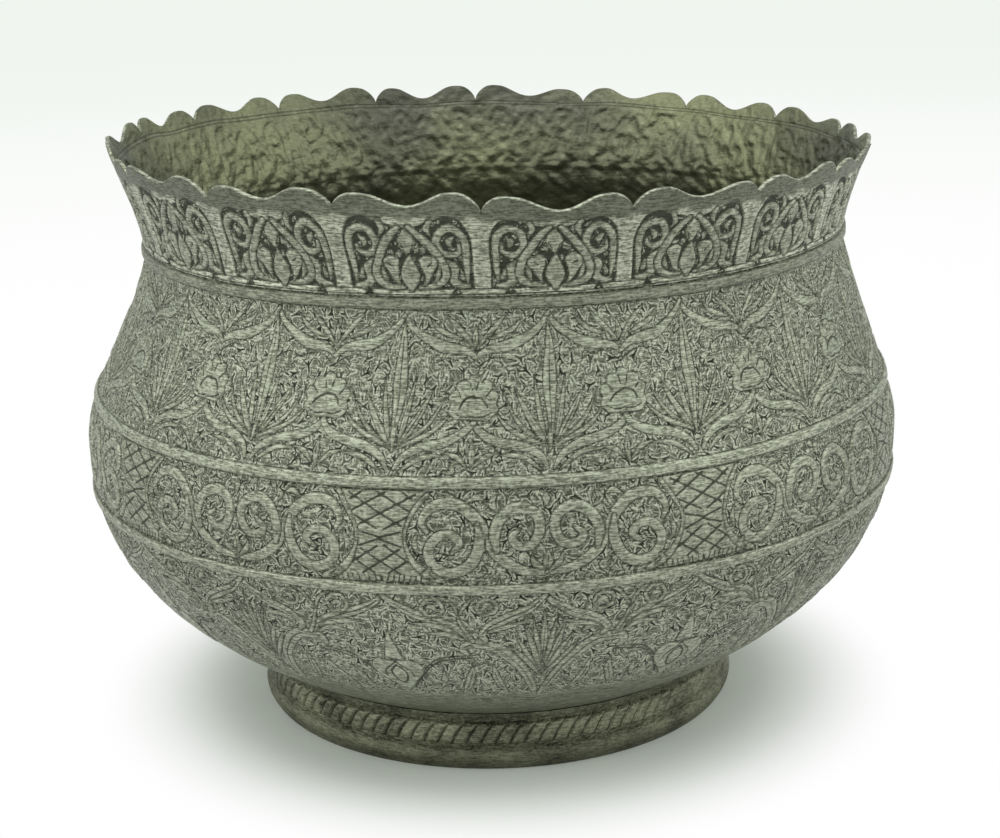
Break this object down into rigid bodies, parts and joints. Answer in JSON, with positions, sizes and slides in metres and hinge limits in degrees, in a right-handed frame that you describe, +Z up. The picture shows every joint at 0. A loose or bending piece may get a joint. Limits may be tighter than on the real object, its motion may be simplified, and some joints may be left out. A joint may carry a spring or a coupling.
{
  "type": "tinned copper bowl",
  "caption": "Wide-bellied footed metal bowl with a narrow neck and a flaring rim cut into bracket-shaped lobes; holds food or liquid and stands on a ring foot.",
  "frame": {"origin": "centre of the foot ring, on the surface that the bowl stands on", "axes": "+Z up along the bowl's axis, -Y towards the viewer of the picture, with a rim notch on the -Y side"},
  "size_m": [0.2784, 0.2784, 0.1963],
  "materials": {
    "tinned_copper": "matt worn tin over copper, chased all over, grey with an olive cast",
    "brown_copper": "bare and browned copper with traces of tin, satin",
    "solder": "dull soft solder"
  },
  "bodies": {
    "root": {"bowl_body": "tinned_copper", "foot_ring": "brown_copper", "foot_solder": "solder"}
  },
  "joints": []
}
